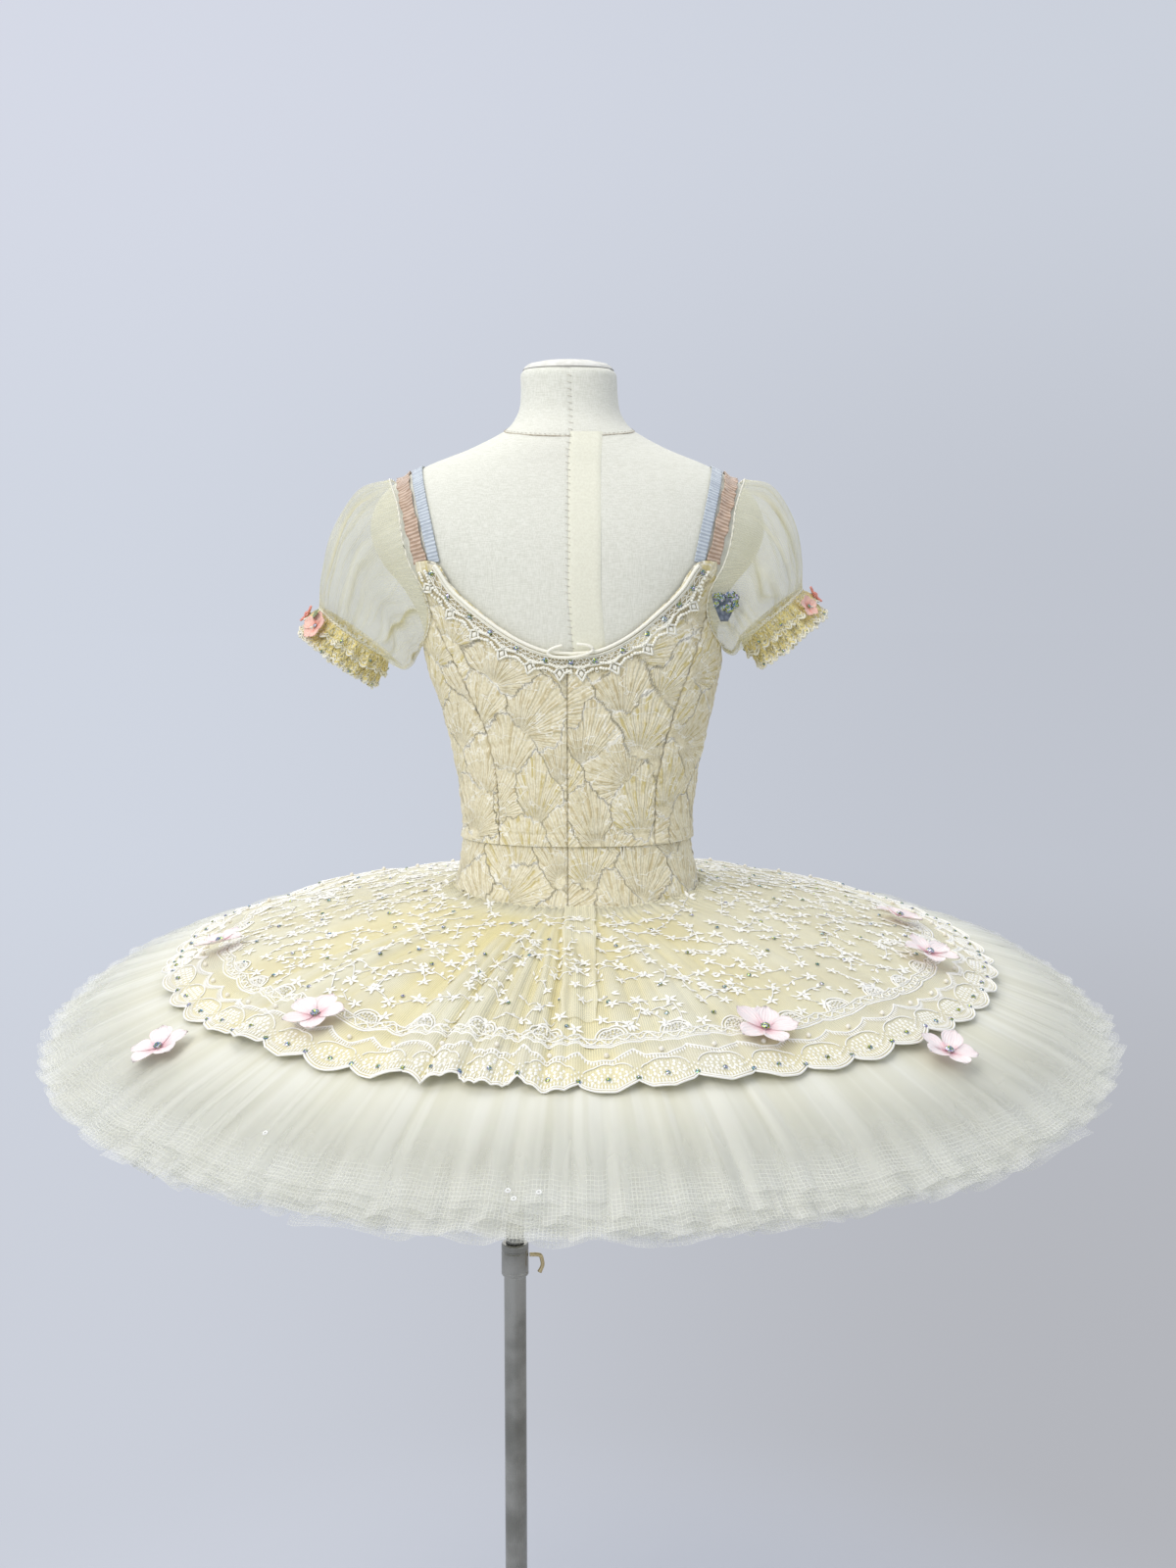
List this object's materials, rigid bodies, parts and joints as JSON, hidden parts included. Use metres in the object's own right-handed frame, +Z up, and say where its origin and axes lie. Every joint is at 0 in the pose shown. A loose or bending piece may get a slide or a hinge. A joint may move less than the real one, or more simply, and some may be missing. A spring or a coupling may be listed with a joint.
{
  "type": "ballet tutu on a dress form",
  "caption": "Classical tutu with fitted bodice, puffed sleeves and a wide flat layered tulle skirt, worn by a limbless linen dress form on a pole stand with a round base.",
  "frame": {"origin": "on the floor, under the middle of the skirt, at the bottom centre of the bounding box", "axes": "+Z up; the wearer's front faces -Y and the back with the closure faces +Y; the wearer's left is +X"},
  "size_m": [1.014, 1.0159, 1.4783],
  "materials": {
    "brocade": "ivory and pale gold matelasse brocade, raised ribs with a soft sheen",
    "bead_flower": "small salmon beads on wire, glossy",
    "peach_flower": "peach cloth petals, matt",
    "gold_lace": "gathered gold lace with ivory edge cords",
    "neck_cap": "linen over a board, matt",
    "linen": "off-white linen cover, plain weave, matt",
    "cord": "white twisted cord",
    "slate_applique": "slate blue net with green and pink sequins",
    "knickers": "ivory stretch net, matt",
    "beaded_lace": "ivory beaded lace, small pearl beads, slight gloss",
    "placket": "embroidered tulle over a binding",
    "embroidered_tulle": "cream tulle embroidered with vines and small flowers",
    "scalloped_lace": "ivory tulle with a scalloped corded lace border",
    "pink_flower": "pale pink silk petals, deeper pink at the heart",
    "sheer_net": "sheer ivory net, gathered",
    "base_metal": "grey metal, satin",
    "pole_metal": "chromed steel tube, fine lengthwise brushing",
    "thumbscrew_metal": "bent brass-coloured rod",
    "blue_ribbon": "gathered blue-grey ribbon",
    "rose_ribbon": "ruffled rose-brown ribbon",
    "tulle": "stiff ivory tulle, fine hexagonal net"
  },
  "bodies": {
    "root": {"basque_back_left": "brocade", "basque_back_right": "brocade", "basque_front": "brocade", "bodice_centre_back_left": "brocade", "bodice_centre_back_right": "brocade", "bodice_centre_front": "brocade", "bodice_side_back_left": "brocade", "bodice_side_back_right": "brocade", "bodice_side_front_left": "brocade", "bodice_side_front_right": "brocade", "cuff_bead_flower_left": "bead_flower", "cuff_bead_flower_right": "bead_flower", "cuff_flower_left": "peach_flower", "cuff_flower_right": "peach_flower", "cuff_left": "gold_lace", "cuff_right": "gold_lace", "form_neck_cap": "neck_cap", "form_torso": "linen", "hem_thread_loop": "cord", "jewelled_applique": "slate_applique", "knickers": "knickers", "neck_cord": "cord", "neck_lace": "beaded_lace", "neck_loop": "cord", "overlay_placket": "placket", "overlay_top": "embroidered_tulle", "overlay_under": "scalloped_lace", "skirt_flower_back_1": "pink_flower", "skirt_flower_back_2": "pink_flower", "skirt_flower_back_3": "pink_flower", "skirt_flower_back_4": "pink_flower", "skirt_flower_side_1": "pink_flower", "skirt_flower_side_2": "pink_flower", "skirt_flower_side_3": "pink_flower", "sleeve_left": "sheer_net", "sleeve_right": "sheer_net", "stand_base": "base_metal", "stand_collar": "pole_metal", "stand_pole": "pole_metal", "stand_thumbscrew": "thumbscrew_metal", "stand_upper_tube": "pole_metal", "strap_blue_left": "blue_ribbon", "strap_blue_right": "blue_ribbon", "strap_rose_left": "rose_ribbon", "strap_rose_right": "rose_ribbon", "tulle_second": "tulle", "tulle_third": "tulle", "tulle_top": "tulle"}
  },
  "joints": []
}
